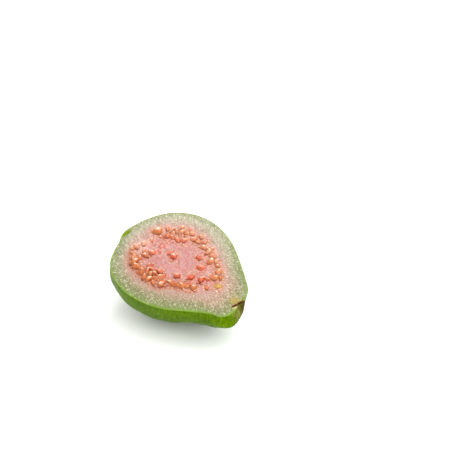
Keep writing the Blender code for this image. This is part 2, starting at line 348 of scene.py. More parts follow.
def polar(outline):
    """Function that gives the smooth outline's distance from the face centre at each angle."""
    curve = closed_curve(outline)
    angles = np.array([math.atan2(point.y, point.x) for point in curve])
    radii = np.array([point.length for point in curve])
    order = np.argsort(angles)
    angles, radii = angles[order], radii[order]
    return lambda angle: np.interp(angle, angles, radii, period=math.tau)


rim_radius = polar(RIM_OUTLINE)
belly_radius = polar(BELLY_OUTLINE)
pulp_radius = polar(PULP_OUTLINE)


def bell(distance, spread):
    """Bell curve, 1 at distance 0."""
    return np.exp(-0.5 * (distance / spread) ** 2)


def between(ends, share):
    """Value at the given share of the way from the first end to the second."""
    return ends[0] + (ends[1] - ends[0]) * share


def turn(angle, centre):
    """Shortest way round from centre to angle."""
    return (angle - centre + math.pi) % math.tau - math.pi


def smooth_step(value):
    """Ease from 0 to 1."""
    value = np.clip(value, 0.0, 1.0)
    return value * value * (3.0 - 2.0 * value)


def depth_at(x):
    """Depth of the half below the cut face at places along its length, before it rounds up."""
    places = np.array([place for place, depth in DEPTH_STATIONS])
    depths = np.array([depth for place, depth in DEPTH_STATIONS])
    slopes = np.gradient(depths, places)
    slopes[0] = slopes[-1] = 0.0
    x = np.clip(x, places[0], places[-1])
    i = np.clip(np.searchsorted(places, x) - 1, 0, len(places) - 2)
    span = places[i + 1] - places[i]
    u = (x - places[i]) / span
    return (
        (2 * u**3 - 3 * u**2 + 1) * depths[i] + (u**3 - 2 * u**2 + u) * span * slopes[i]
        + (3 * u**2 - 2 * u**3) * depths[i + 1] + (u**3 - u**2) * span * slopes[i + 1]
    )


# Noise

def lattice(cells, salt):
    """Repeatable random value from -1 to 1 for each whole-numbered cell."""
    cells = cells.astype(np.int64).astype(np.uint64)
    mixed = cells[..., 0] * np.uint64(73856093)
    mixed ^= cells[..., 1] * np.uint64(19349663)
    mixed ^= cells[..., 2] * np.uint64(83492791)
    mixed ^= np.uint64(salt * 2654435761)
    mixed = (mixed ^ (mixed >> np.uint64(15))) * np.uint64(2246822519)
    mixed = (mixed ^ (mixed >> np.uint64(13))) * np.uint64(3266489917)
    mixed ^= mixed >> np.uint64(16)
    return (mixed & np.uint64(0xFFFFFF)).astype(float) / 0x7FFFFF - 1.0


def noise(points, size, salt):
    """Smooth noise from -1 to 1 with features of the given size."""
    scaled = points / size
    base = np.floor(scaled)
    part = scaled - base
    part = part * part * (3.0 - 2.0 * part)
    total = np.zeros(points.shape[:-1])
    for corner in range(8):
        step = np.array([corner & 1, (corner >> 1) & 1, (corner >> 2) & 1], float)
        weight = np.prod(np.where(step > 0, part, 1.0 - part), axis=-1)
        total += weight * lattice(base + step, salt)
    return total


def layered(points, size, salt, layers=3):
    """Noise in several layers, each half as large and half as strong as the last."""
    total = np.zeros(points.shape[:-1])
    for k in range(layers):
        total += noise(points, size / 2**k, salt + k) / 2**k
    return total / (2.0 - 0.5 ** (layers - 1))


# The fruit's surfaces, in the frame of the cut face

def skin_lumps(x, y, z):
    """Low rounded lumps of the skin."""
    waves = np.sin(0.21 * x + 0.13 * y + 1.0) + np.sin(0.17 * y - 0.24 * z + 2.1)
    waves += np.sin(0.33 * x - 0.19 * z) * np.sin(0.29 * y + 0.8)
    return SKIN_LUMP * waves / 2.0


def scar_relief(y, z):
    """Raised corky ring and sunk middle of the stem scar, on the blunt end of the neck."""
    distance = np.hypot(y - SCAR_CENTRE[0], z - SCAR_CENTRE[1])
    ring = SCAR_RING * bell(distance - SCAR_RADIUS, SCAR_RING_WIDTH)
    return ring - SCAR_PIT * bell(distance, SCAR_PIT_WIDTH)


def skin_points(angle, level):
    """Points of the skin: angle round the fruit, level 0 at the rim and 1 at the lowest point."""
    sweep = level * math.pi / 2
    power = MERIDIAN_POWER + NECK_POWER * bell(turn(angle, NECK_ANGLE), NECK_SPREAD)
    inward = np.maximum(np.cos(sweep), 0.0) ** (2 / power)
    downward = np.sin(sweep) ** (2 / power)
    mix = smooth_step(downward / BELLY_LEVEL)
    reach = rim_radius(angle) * (1 - mix) + belly_radius(angle) * mix
    x = reach * inward * np.cos(angle)
    y = reach * inward * np.sin(angle)
    z = -depth_at(x) * downward
    swell = 1 + skin_lumps(x, y, z) * smooth_step(level / SKIN_LUMP_START) / SKIN_LUMP_SCALE
    points = np.stack([x, y, z], axis=-1) * swell[..., None]
    near_scar = np.abs(turn(angle, 0.0)) < SCAR_SPREAD
    points[..., 0] += np.where(near_scar, scar_relief(points[..., 1], points[..., 2]), 0.0)
    return points


def face_height(x, y):
    """Height of the cut face: it waves a little, and the soft pulp has sunk."""
    wave = FACE_WAVE * (np.sin(0.16 * x + 0.9) + np.sin(0.23 * y - 0.11 * x)) / 2
    angle = np.arctan2(y, x)
    radius = np.hypot(x, y)
    to_rim = smooth_step((rim_radius(angle) - radius) / FACE_WAVE_FADE)
    to_core = smooth_step((pulp_radius(angle) - radius) / PULP_SAG_FADE)
    return wave * to_rim - PULP_SAG * to_core - CROWN_PIT_DEPTH * crown_pit(x, y)


def crown_pit(x, y):
    """How far into the hollow of the blossom end's crown a place is, 1 in its middle."""
    across = (x - CROWN_PIT[0]) / CROWN_PIT_WIDTH
    along = (y - CROWN_PIT[1]) / CROWN_PIT_LENGTH
    return smooth_step(CROWN_PIT_EDGE - np.hypot(across, along))


def seed_places(rng):
    """Where each seed sits on the face, its length, and how deep it is sunk."""
    places = []
    for first, last, count, length in SEED_ROWS:
        for k in range(count):
            mix = k / (count - 1) if count > 1 else 0.0
            spot = Vector(first).lerp(Vector(last), mix)
            spot += Vector((rng.uniform(-1, 1), rng.uniform(-1, 1))) * SEED_JITTER
            places.append((spot, length * rng.uniform(*SEED_VARIETY), SEED_SINK))
    for k in range(LOOSE_SEEDS):
        angle = math.tau * (k + rng.uniform(*LOOSE_SEED_STEP)) / LOOSE_SEEDS
        reach = pulp_radius(angle) * rng.uniform(*LOOSE_SEED_REACH)
        spot = Vector((math.cos(angle), math.sin(angle))) * reach
        if all((spot - other).length > LOOSE_SEED_SPACING for other, length, sink in places):
            places.append((spot, LOOSE_SEED_LENGTH, LOOSE_SEED_SINK))
    return places


def resting_place():
    """Transform from the cut face's frame in millimetres to the part's frame in metres."""
    drop_cos, drop_sin = math.cos(NECK_DROP), math.sin(NECK_DROP)
    roll_cos, roll_sin = math.cos(NEAR_ROLL), math.sin(NEAR_ROLL)
    along = Vector((drop_cos, 0.0, -drop_sin))
    across = Vector((roll_sin * drop_sin, roll_cos, roll_sin * drop_cos))
    out = Vector((roll_cos * drop_sin, -roll_sin, roll_cos * drop_cos))
    lean = Matrix((along, across, out)).transposed().to_4x4()
    return Matrix.Scale(MM, 4) @ Matrix.Translation(FACE_CENTRE) @ lean


def placed(points):
    """Points moved from the cut face's frame to the part's frame, none below the floor."""
    matrix = np.array(resting_place())
    moved = points @ matrix[:3, :3].T + matrix[:3, 3]
    moved[..., 2] = np.maximum(moved[..., 2], 0.0)
    return moved


# Relief and marks of the surfaces, in millimetres

# Factors for places: one drops their height, the other stretches a pattern downward
FLAT = np.array([1.0, 1.0, 0.0])
DOWNWARD = np.array([1.0, 1.0, DOWN_STRETCH])


def fibre_space(points):
    """Coordinates in which the flesh's grain runs outward from the core."""
    angle = np.arctan2(points[..., 1], points[..., 0])
    radius = np.hypot(points[..., 0], points[..., 1])
    reach = np.minimum(radius, FIBRE_REACH)
    stretched = radius * FIBRE_STRETCH
    return np.stack([reach * np.cos(angle), reach * np.sin(angle), stretched], axis=-1)


def along_line(points, line, width):
    """How near places of the cut face are to a bent line, 1 on it."""
    nearest = np.full(points.shape[:-1], np.inf)
    for start, end in zip(line, line[1:]):
        start = np.array(start)
        along = np.array(end) - start
        offset = points[..., :2] - start
        share = np.clip(offset @ along / (along @ along), 0.0, 1.0)
        nearest = np.minimum(nearest, np.linalg.norm(offset - share[..., None] * along, axis=-1))
    return bell(nearest, width)


def beads(points, size, salt):
    """Rounded beads, one to a jittered cell: their height from 0 to 1, and each one's random value."""
    scaled = points * FLAT / size
    base = np.floor(scaled)
    nearest = np.full(points.shape[:-1], np.inf)
    chance = np.zeros(points.shape[:-1])
    for step_x in (-1, 0, 1):
        for step_y in (-1, 0, 1):
            cell = base + np.array([step_x, step_y, 0])
            jitter = np.stack([lattice(cell, salt), lattice(cell, salt + 1)], axis=-1)
            centre = cell[..., :2] + 0.5 + BEAD_JITTER * jitter
            distance = np.linalg.norm(scaled[..., :2] - centre, axis=-1)
            chance = np.where(distance < nearest, lattice(cell, salt + 2), chance)
            nearest = np.minimum(nearest, distance)
    return np.clip(1.0 - (nearest / BEAD_RADIUS) ** 2, 0.0, 1.0), 0.5 + 0.5 * chance


def around(points, spot, width):
    """How near places of the cut face are to a spot, 1 on it."""
    return bell(np.hypot(points[..., 0] - spot[0], points[..., 1] - spot[1]), width)


def seedy_ring(points, seeds):
    """How seedy a place is: 1 among the seeds, 0 in the wall and in the smooth middle."""
    ragged = 1.0 + RING_RAGGED * layered(points * FLAT, RING_RAGGED_SIZE, RING_SALT, 2)
    return smooth_step(RING_GAIN * seed_halo(points, seeds, RING_REACH * ragged))


def wet_relief(points, to_rim, ring, seeds):
    """Fine relief of the cut face: grain of the flesh, beads of the pulp, collars round the seeds."""
    flat = points * FLAT
    fibres = fibre_space(points)
    relief = FLESH_GRAIN * (1.0 - GRAIN_CALM * ring) * layered(fibres, FLESH_GRAIN_SIZE, GRAIN_SALT, 2)
    far_grain = FAR_GRAIN * layered(fibres, FAR_GRAIN_SIZE, FAR_GRAIN_SALT, 2)
    relief += (1.0 - ring) * far_share(points) * far_grain
    relief *= smooth_step(to_rim / RIM_CALM)
    relief += LUMP_HEIGHT * ring * layered(flat, LUMP_SIZE, LUMP_SALT)
    patchy = smooth_step(0.5 + BEAD_PATCH_GAIN * layered(flat, BEAD_PATCH_SIZE, PATCH_SALT, 2))
    patchy *= 1.0 - seed_halo(points, seeds, HALO_SPREAD)
    for kind, height in BEAD_HEIGHTS:
        bead, chance = beads(points, **kind)
        relief += height * ring * patchy * bead * (BEAD_LEAST + (1.0 - BEAD_LEAST) * chance)
    ragged = COLLAR_MEAN + COLLAR_RAGGED * layered(flat, COLLAR_RAGGED_SIZE, COLLAR_SALT, 2)
    for spot, length, sink in seeds:
        near = np.hypot(points[..., 0] - spot.x, points[..., 1] - spot.y)
        collar = bell(near - COLLAR_REACH * length, COLLAR_WIDTH)
        relief += COLLAR_HEIGHT * (COLLAR_LEAST + sink) * ragged * collar
    relief -= CLEFT_DEPTH * along_line(points, CLEFT, CLEFT_WIDTH)
    edge = np.clip(RIM_ROUND - to_rim, 0.0, RIM_ROUND)
    return relief - (RIM_ROUND - np.sqrt(RIM_ROUND**2 - edge**2))


def seed_halo(points, seeds, spread):
    """How near each point of the face is to a seed, 1 at a seed."""
    total = np.zeros(points.shape[:-1])
    for spot, length, sink in seeds:
        total = np.maximum(total, around(points, spot, spread * length))
    return total


def far_share(points):
    """How far round on the paler, far side of the cut face a place is, from 0 to 1."""
    angle = np.arctan2(points[..., 1], points[..., 0])
    return smooth_step(0.5 + 0.5 * np.cos(angle - FAR_SIDE_ANGLE)) ** FAR_SIDE_POWER


def skin_relief(points, levels):
    """How far the skin stands out in its lumps and ribs, none at the rim."""
    downward = points * DOWNWARD
    height = BROAD_HEIGHT * layered(points, BROAD_SIZE, BROAD_SALT, 2)
    height += RIB_HEIGHT * layered(downward, RIB_SIZE, RIB_SALT, 2)
    height += PIMPLE_HEIGHT * layered(points, PIMPLE_SIZE, PIMPLE_SALT, 2)
    return height * smooth_step(levels / RIM_LEVEL)


def husk_share(points):
    """How corky and brown the skin is, on the blunt end round the stem scar."""
    across = (points[..., 1] - HUSK_CENTRE[0]) / HUSK_SIZE[0]
    down = (points[..., 2] - HUSK_CENTRE[1]) / HUSK_SIZE[1]
    near = smooth_step((HUSK_EDGE - np.hypot(across, down)) / HUSK_SOFTNESS)
    return near * smooth_step((points[..., 0] - HUSK_START) / HUSK_FADE)


# Meshes

def side_angles():
    """Angles round the fruit, closer together at its two ends."""
    steps = math.tau * np.arange(SIDES) / SIDES
    return steps - END_CROWDING * np.sin(2 * steps)


def skin_rings(angles):
    """Rings of the skin from its lowest point up to the rim."""
    rings = []
    for level in np.linspace(1.0, 0.0, SKIN_RINGS + 1)[1:] ** SKIN_CROWDING:
        ring = skin_points(angles, np.full(SIDES, level))
        outward = ring / np.linalg.norm(ring, axis=-1)[:, None]
        rings.append(ring + outward * skin_relief(ring, level)[:, None])
    return rings


def face_rings(angles, rim):
    """Rings of the cut face from just inside the rim to just outside the middle."""
    core = pulp_radius(angles)
    shares = (np.arange(1, WALL_RINGS + 1) / WALL_RINGS) ** WALL_CROWDING
    radii = [rim * (1 - share) + core * share for share in shares]
    radii += [core * (1 - k / PULP_RINGS) for k in range(1, PULP_RINGS)]
    rings = []
    for radius in radii:
        x, y = radius * np.cos(angles), radius * np.sin(angles)
        rings.append(np.stack([x, y, face_height(x, y)], axis=-1))
    return rings


# The body's material slots: green skin, cut face and dry tissue beside the stem
SKIN_SLOT, FACE_SLOT, STEM_SLOT = range(3)


def body_faces():
    """Faces between neighbouring rings, and the material slot of each."""
    rings = SKIN_RINGS + WALL_RINGS + PULP_RINGS - 1
    last = 1 + rings * SIDES
    here = np.arange(SIDES)
    after = (here + 1) % SIDES
    faces = [(0, 1 + j, 1 + i) for i, j in zip(here.tolist(), after.tolist())]
    slots = [SKIN_SLOT] * SIDES
    for k in range(rings - 1):
        low, high = 1 + k * SIDES, 1 + (k + 1) * SIDES
        quads = np.stack([low + here, low + after, high + after, high + here], axis=-1)
        faces += quads.tolist()
        slots += [SKIN_SLOT if k < SKIN_RINGS - 1 else FACE_SLOT] * SIDES
    top = 1 + (rings - 1) * SIDES
    faces += [(last, top + i, top + j) for i, j in zip(here.tolist(), after.tolist())]
    slots += [FACE_SLOT] * SIDES
    return faces, slots


def face_values(face, seeds):
    """What the materials read on the cut face: the value elsewhere, and those of the face's points."""
    radius = np.hypot(face[:, 0], face[:, 1])
    angle = np.arctan2(face[:, 1], face[:, 0])
    bead, chance = beads(face, **FINE_BEADS)
    return {
        "to_rim": (0.0, rim_radius(angle) - radius),
        "to_core": (FAR_FROM_CORE, pulp_radius(angle) - radius),
        "far": (0.0, far_share(face)),
        "ring": (0.0, seedy_ring(face, seeds)),
        "bead": (0.0, bead),
        "chance": (0.0, chance),
        "halo": (0.0, seed_halo(face, seeds, HALO_SPREAD)),
        "pale": (0.0, around(face, PALE_PATCH, PALE_WIDTH)),
        "pit": (0.0, crown_pit(face[:, 0], face[:, 1])),
        "cleft": (0.0, along_line(face, CLEFT, CLEFT_WIDTH)),
        "sliver": (0.0, along_line(face, SLIVER, SLIVER_WIDTH)),
        "stain": (0.0, around(face, STAIN, STAIN_WIDTH)),
    }


def store(mesh, name, values):
    """Keep one number or one vector for each point of the mesh, under a name."""
    kind, field = ("FLOAT_VECTOR", "vector") if values.ndim > 1 else ("FLOAT", "value")
    mesh.attributes.new(name, kind, "POINT").data.foreach_set(field, values.ravel())


def build_body(seeds):
    """The whole half as one closed mesh: skin below, cut face above."""
    angles = side_angles()
    skin = skin_rings(angles)
    rim = np.hypot(skin[-1][:, 0], skin[-1][:, 1])
    lowest = skin_points(np.array([0.0]), np.array([1.0]))
    middle = np.array([[0.0, 0.0, float(face_height(0.0, 0.0))]])
    fruit = np.concatenate([lowest, *skin, *face_rings(angles, rim), middle])
    first = 1 + SIDES * SKIN_RINGS
    face = fruit[first:]
    values = face_values(face, seeds)
    points = fruit.copy()
    points[first:, 2] += wet_relief(face, values["to_rim"][1], values["ring"][1], seeds)
    points[first - SIDES:first, 2] -= RIM_ROUND
    faces, slots = body_faces()
    dry = np.maximum(values["cleft"][1], values["sliver"][1]) > DRY_SHARE
    for k in range(SIDES * SKIN_RINGS, len(faces)):
        if all(dry[vert - first] for vert in faces[k]):
            slots[k] = STEM_SLOT
    mesh = bpy.data.meshes.new("guava_body")
    mesh.from_pydata(placed(points).tolist(), [], faces)
    mesh.polygons.foreach_set("material_index", slots)
    for name, (elsewhere, on_face) in values.items():
        full = np.full(len(fruit), elsewhere)
        full[first:] = on_face
        store(mesh, name, full)
    store(mesh, "husk", husk_share(fruit))
    store(mesh, "fruit", fruit)
    store(mesh, "fibre", fibre_space(fruit))
    store(mesh, "streak", fruit * DOWNWARD)
    mesh.shade_smooth()
    mesh.validate()
    body = bpy.data.objects.new("guava_body", mesh)
    bpy.context.scene.collection.objects.link(body)
    return body


def richness(spot, rng):
    """How red a seed is: tan in the outer ring, red towards the middle."""
    angle = math.atan2(spot.y, spot.x)
    to_core = float(pulp_radius(angle)) - spot.length
    share = min(max((to_core - REDDENING[0]) / REDDENING[1], 0.0), 1.0)
    return share + rng.uniform(-RED_VARIETY, RED_VARIETY)


def grain_places(seeds, rng):
    """Small grains strewn through the seedy ring, clear of the seeds and of each other."""
    tries = np.array([[rng.random() for value in range(5)] for k in range(GRAIN_TRIES)])
    angles = math.tau * tries[:, 0]
    reach = pulp_radius(angles) * between(GRAIN_REACH, tries[:, 1])
    spots = np.stack([reach * np.cos(angles), reach * np.sin(angles), np.zeros(GRAIN_TRIES)], axis=-1)
    wanted = between(SEEDINESS, tries[:, 2])
    kept = seedy_ring(spots, seeds) > wanted
    lengths = between(GRAIN_LENGTH, tries[:, 3] ** 2)
    sinks = between(GRAIN_SINK, tries[:, 4])
    grains = []
    for spot, length, sink in zip(spots[kept, :2].tolist(), lengths[kept].tolist(), sinks[kept].tolist()):
        spot = Vector(spot)
        if any((spot - other).length < GRAIN_CLEARANCE * (size + length) for other, size, deep in seeds):
            continue
        if any((spot - other).length < GRAIN_SPACING for other, size, deep in grains):
            continue
        if any(math.hypot(spot.x - x, spot.y - y) < bare for x, y, bare in BARE_SPOTS):
            continue
        grains.append((spot, length, sink))
    return grains


def kernel_reach(points, rng):
    """How far a kernel with pressed sides reaches in each direction."""
    inverse = np.full(len(points), KERNEL_TIP ** -KERNEL_EDGE)
    for k in range(KERNEL_SIDES):
        side = np.array([rng.gauss(0, 1) for axis in range(3)])
        facing = np.maximum(points @ (side / np.linalg.norm(side)), 0.0)
        inverse += (facing / rng.uniform(*KERNEL_PRESS)) ** KERNEL_EDGE
    return inverse ** (-1 / KERNEL_EDGE)


def kernel_place(middle, length, rng):
    """How a kernel lies: its size, its turn on the face and its tilt."""
    width = SEED_WIDTH * rng.uniform(*KERNEL_NARROW)
    size = Matrix.Diagonal((length / 2, width * length / 2, SEED_HEIGHT * length / 2, 1))
    turned = Matrix.Rotation(rng.uniform(0, math.tau), 4, "Z")
    tipped = Matrix.Rotation(rng.uniform(-KERNEL_TILT, KERNEL_TILT), 4, "X")
    return Matrix.Translation(middle) @ turned @ tipped @ size


def build_kernels(name, places, divisions, swell, rise, light_fade, rng):
    """Seeds or grains as one mesh of closed bodies, each with its own tone and a painted-light value, low
    on the shaded underside and high on the lit top.
    """
    bm = bmesh.new()
    layers = {key: bm.verts.layers.float.new(key) for key in ("tone", "painted_light", "rich", "pale")}
    fruit = bm.verts.layers.float_vector.new("fruit")
    lit = Vector(PAINTED_LIGHT_SIDE).normalized()
    for spot, length, sink in places:
        length *= swell
        height = float(face_height(spot.x, spot.y)) - sink * length + rise
        middle = Vector((spot.x, spot.y, height))
        place = kernel_place(middle, length, rng)
        tone = YELLOW_TONE if spot.x > YELLOW_START else PLAIN_TONE * rng.random()
        own = {"tone": tone, "rich": richness(spot, rng)}
        own["pale"] = float(bell((spot - Vector(PALE_PATCH)).length, PALE_WIDTH))
        made = bmesh.ops.create_icosphere(bm, subdivisions=divisions, radius=1.0)
        points = np.array([vert.co[:] for vert in made["verts"]])
        reach = kernel_reach(points, rng)
        own_noise = points + 3 * np.array([spot.x, spot.y, 0.0])
        reach *= 1 + KERNEL_DENT * layered(own_noise, KERNEL_DENT_SIZE, DENT_SALT)
        for vert, stretch in zip(made["verts"], reach.tolist()):
            vert.co = place @ (vert.co * stretch)
            vert[fruit] = vert.co
            # Painted light: how far a point faces the lit direction, for painted shade and painted
            # highlights
            painted_light = (vert.co - middle).dot(lit) / length + 0.5
            vert[layers["painted_light"]] = painted_light + light_fade * (1 - painted_light)
            for key, value in own.items():
                vert[layers[key]] = value
    bm.transform(resting_place())
    mesh = bpy.data.meshes.new(name)
    bm.to_mesh(mesh)
    bm.free()
    mesh.shade_smooth()
    kernels = bpy.data.objects.new(name, mesh)
    bpy.context.scene.collection.objects.link(kernels)
    return kernels


# Materials

# Colour ramps, from 0 to 1
SKIN_GREENS = [(0.32, srgb(78, 110, 0)), (0.52, srgb(88, 122, 0)), (0.72, srgb(100, 136, 2))]
# Wall colours on the near and far sides: the near side's darker green is partly painted shade, the far
# side's paler beige partly painted sheen
NEAR_WALL = [
    (0.0, srgb(108, 134, 44)), (0.12, srgb(120, 140, 62)), (0.25, srgb(130, 142, 82)),
    (0.42, srgb(138, 134, 88)), (0.62, srgb(158, 140, 102)), (0.9, srgb(182, 146, 120)),
]
FAR_WALL = [
    (0.0, srgb(144, 158, 92)), (0.12, srgb(156, 160, 118)), (0.25, srgb(170, 170, 138)),
    (0.42, srgb(186, 180, 154)), (0.62, srgb(196, 178, 158)), (0.9, srgb(202, 166, 152)),
]
RING_TONES = [
    (0.15, srgb(204, 152, 140)), (0.45, srgb(206, 142, 122)),
    (0.70, srgb(204, 146, 110)), (0.90, srgb(204, 118, 72)),
]
SEED_TONES = [(0.0, srgb(212, 110, 16)), (0.5, srgb(216, 94, 26)), (1.0, srgb(220, 64, 28))]


class Nodes:
    """Short hand for building a node material."""

    def __init__(self, name):
        self.material = bpy.data.materials.new(name)
        self.material.use_nodes = True
        self.tree = self.material.node_tree
        self.shader = self.tree.nodes["Principled BSDF"]

    def set(self, **values):
        """Values on the shader's own sockets, or links where a socket is given."""
        for key, value in values.items():
            self.feed(self.shader.inputs[key.replace("_", " ")], value)

    def feed(self, socket, value):
        if isinstance(value, bpy.types.NodeSocket):
            self.tree.links.new(value, socket)
        else:
            socket.default_value = value

    def attribute(self, name, output="Fac"):
        node = self.tree.nodes.new("ShaderNodeAttribute")
        node.attribute_name = name
        return node.outputs[output]

    def math(self, operation, first, second=0.0, third=0.0, clamp=False):
        node = self.tree.nodes.new("ShaderNodeMath")
        node.operation = operation
        node.use_clamp = clamp
        for socket, value in zip(node.inputs, (first, second, third)):
            self.feed(socket, value)
        return node.outputs[0]

    def shifted(self, value, noise, reach):
        """The value moved up and down by the noise, by up to half the reach."""
        return self.math("MULTIPLY_ADD", noise, reach, self.math("SUBTRACT", value, reach / 2))

    def axes(self, vector):
        node = self.tree.nodes.new("ShaderNodeSeparateXYZ")
        self.feed(node.inputs[0], vector)
        return node.outputs

    def span(self, value, low, high, to_low=0.0, to_high=1.0):
        node = self.tree.nodes.new("ShaderNodeMapRange")
        node.interpolation_type = "SMOOTHSTEP"
        for key, item in zip(("Value", "From Min", "From Max", "To Min", "To Max"),
                             (value, low, high, to_low, to_high)):
            self.feed(node.inputs[key], item)
        return node.outputs[0]

    def mix(self, factor, first, second, blend="MIX"):
        node = self.tree.nodes.new("ShaderNodeMix")
        node.data_type = "RGBA"
        node.blend_type = blend
        self.feed(node.inputs[0], factor)
        self.feed(node.inputs[6], first)
        self.feed(node.inputs[7], second)
        return node.outputs[2]

    def noise(self, vector, scale, detail=3.0, rough=0.55):
        node = self.tree.nodes.new("ShaderNodeTexNoise")
        self.feed(node.inputs["Vector"], vector)
        node.inputs["Scale"].default_value = scale
        node.inputs["Detail"].default_value = detail
        node.inputs["Roughness"].default_value = rough
        return node.outputs["Fac"]

    def cells(self, vector, scale):
        """Distance from the nearest cell's middle, and a random value of that cell."""
        node = self.tree.nodes.new("ShaderNodeTexVoronoi")
        self.feed(node.inputs["Vector"], vector)
        node.inputs["Scale"].default_value = scale
        split = self.tree.nodes.new("ShaderNodeSeparateColor")
        self.feed(split.inputs[0], node.outputs["Color"])
        return node.outputs["Distance"], split.outputs[0]

    def bump(self, height, distance, strength=1.0, normal=None):
        node = self.tree.nodes.new("ShaderNodeBump")
        node.inputs["Strength"].default_value = strength
        node.inputs["Distance"].default_value = distance
        self.feed(node.inputs["Height"], height)
        if normal is not None:
            self.feed(node.inputs["Normal"], normal)
        return node.outputs[0]

    def ramp(self, value, stops):
        node = self.tree.nodes.new("ShaderNodeValToRGB")
        self.feed(node.inputs[0], value)
        elements = node.color_ramp.elements
        while len(elements) < len(stops):
            elements.new(0.5)
        for element, (place, colour) in zip(elements, stops):
            element.position = place
            element.color = colour
        return node.outputs[0]


def skin_material():
    """Waxy green skin: streaked down from the rim, with pale pores, painted shade just under the rim at the
    blossom end, browned round the stem scar.
    """
    make = Nodes("guava_skin")
    fruit = make.attribute("fruit", "Vector")
    streak = make.attribute("streak", "Vector")
    broad = make.noise(fruit, 0.10, 2.0)
    streaks = make.noise(streak, 0.85, 4.0, 0.6)
    fine = make.noise(fruit, 0.9, 4.0, 0.6)
    colour = make.ramp(broad, SKIN_GREENS)
    colour = make.mix(make.span(streaks, 0.50, 0.66, 0.0, 0.38), colour, srgb(124, 160, 6))
    colour = make.mix(make.span(streaks, 0.50, 0.34, 0.0, 0.38), colour, srgb(60, 88, 0))
    colour = make.mix(make.span(fine, 0.52, 0.68, 0.0, 0.30), colour, srgb(126, 160, 16))
    colour = make.mix(make.span(fine, 0.46, 0.32, 0.0, 0.30), colour, srgb(54, 82, 0))
    distance, chance = make.cells(fruit, 0.85)
    pores = make.span(distance, 0.12, 0.03, 0.0, 0.25)
    colour = make.mix(make.math("MULTIPLY", pores, chance), colour, srgb(160, 186, 70))
    along, across, height = make.axes(fruit)
    # Painted shade on the skin just under the rim at the blossom end
    blossom_end = make.span(along, -26.0, -34.0, 0.0, 0.85)
    painted_rim_shade = make.math("MULTIPLY", make.span(height, -4.0, -1.0), blossom_end)
    colour = make.mix(painted_rim_shade, colour, srgb(58, 78, 26))
    corky = make.mix(make.span(streaks, 0.42, 0.58), srgb(98, 96, 28), srgb(130, 138, 62))
    corky = make.mix(make.span(across, -1.5, 1.5, 0.0, 0.85), corky, srgb(70, 50, 18))
    edge = make.shifted(make.attribute("husk"), fine, 0.7)
    colour = make.mix(make.span(edge, 0.05, 0.9, 0.0, 0.9), colour, corky)
    make.set(Base_Color=colour, Roughness=make.span(fine, 0.3, 0.7, 0.28, 0.42))
    make.set(Specular_IOR_Level=0.03, Specular_Tint=(0.75, 1.0, 0.40, 1.0))
    normal = make.bump(streaks, 0.7 * MM, 0.7)
    normal = make.bump(fine, 0.25 * MM, 0.6, normal)
    normal = make.bump(make.span(distance, 0.0, 0.25), 0.05 * MM, 0.6, normal)
    make.set(Normal=normal)
    return make.material


def wall_colour(make, fruit, to_rim):
    """Firm flesh: green under the skin, beige towards the core, greener and darker on the near side, partly
    its own colour and partly painted shade, and paler on the far side, partly painted sheen.
    """
    wander = make.noise(fruit, 0.22, 3.0)
    share = make.math("DIVIDE", make.shifted(to_rim, wander, 3.0), WALL_DEPTH, clamp=True)
    return make.mix(make.attribute("far"), make.ramp(share, NEAR_WALL), make.ramp(share, FAR_WALL))


def flecked(make, colour, fibre, calm):
    """Cream flecks, partly the flesh's own stone cells and partly painted wet glints, and darker wet spots
    of the cut fibres, weaker where it is calm.
    """
    flecks = make.noise(fibre, 1.8, 3.0, 0.6)
    clouds = make.noise(fibre, 0.55, 3.0, 0.6)
    colour = make.mix(make.span(clouds, 0.50, 0.36, 0.0, 0.30), colour, srgb(134, 122, 84))
    colour = make.mix(make.span(clouds, 0.52, 0.66, 0.0, 0.30), colour, srgb(200, 178, 150))
    # Cream flecks: partly the flesh's own stone cells, partly painted wet glints
    light = make.math("MULTIPLY", make.span(flecks, 0.54, 0.67, 0.0, 0.80), calm)
    dark = make.math("MULTIPLY", make.span(flecks, 0.47, 0.34, 0.0, 0.40), calm)
    colour = make.mix(dark, colour, srgb(120, 108, 68))
    return make.mix(light, colour, srgb(236, 226, 190)), flecks


def pulp_colour(make, fruit, halo, to_core):
    """Seedy ring: beads from salmon to tan, with painted shade between them and painted highlights on their
    tops, deeper round the seeds; painted sheen on the far side, painted shade on the near side, and painted
    wet glints.
    """
    bead = make.attribute("bead")
    blotch = make.noise(fruit, 0.35, 3.0)
    fine = make.noise(fruit, 1.4, 3.0, 0.6)
    colour = make.ramp(make.attribute("chance"), RING_TONES)
    colour = make.mix(make.span(blotch, 0.42, 0.62, 0.0, 0.7), colour, srgb(208, 158, 150))
    glow = make.mix(make.span(to_core, 5.0, 9.0), srgb(214, 126, 84), srgb(224, 102, 88))
    colour = make.mix(make.span(halo, 0.15, 0.70, 0.0, 0.75), colour, glow)
    # Painted shade between the beads and painted highlights on their tops
    colour = make.mix(make.span(bead, 0.35, 0.0, 0.0, 0.35), colour, srgb(164, 80, 50))
    colour = make.mix(make.span(bead, 0.70, 1.0, 0.0, 0.50), colour, srgb(252, 218, 196))
    # Paler on the far side: painted sheen, with the pale patch beside the blossom end as the pulp's own
    # colour; darker on the near side: painted shade
    across = make.axes(fruit)["Y"]
    pale = make.math("MAXIMUM", make.span(across, 6.0, 16.0, 0.0, 0.30), make.attribute("pale"))
    colour = make.mix(pale, colour, srgb(236, 190, 178))
    colour = make.mix(make.span(across, -4.0, -14.0, 0.0, 0.50), colour, srgb(180, 96, 58))
    # Near-white specks: painted wet glints
    return make.mix(make.span(fine, 0.56, 0.68, 0.0, 0.65), colour, srgb(255, 226, 204))


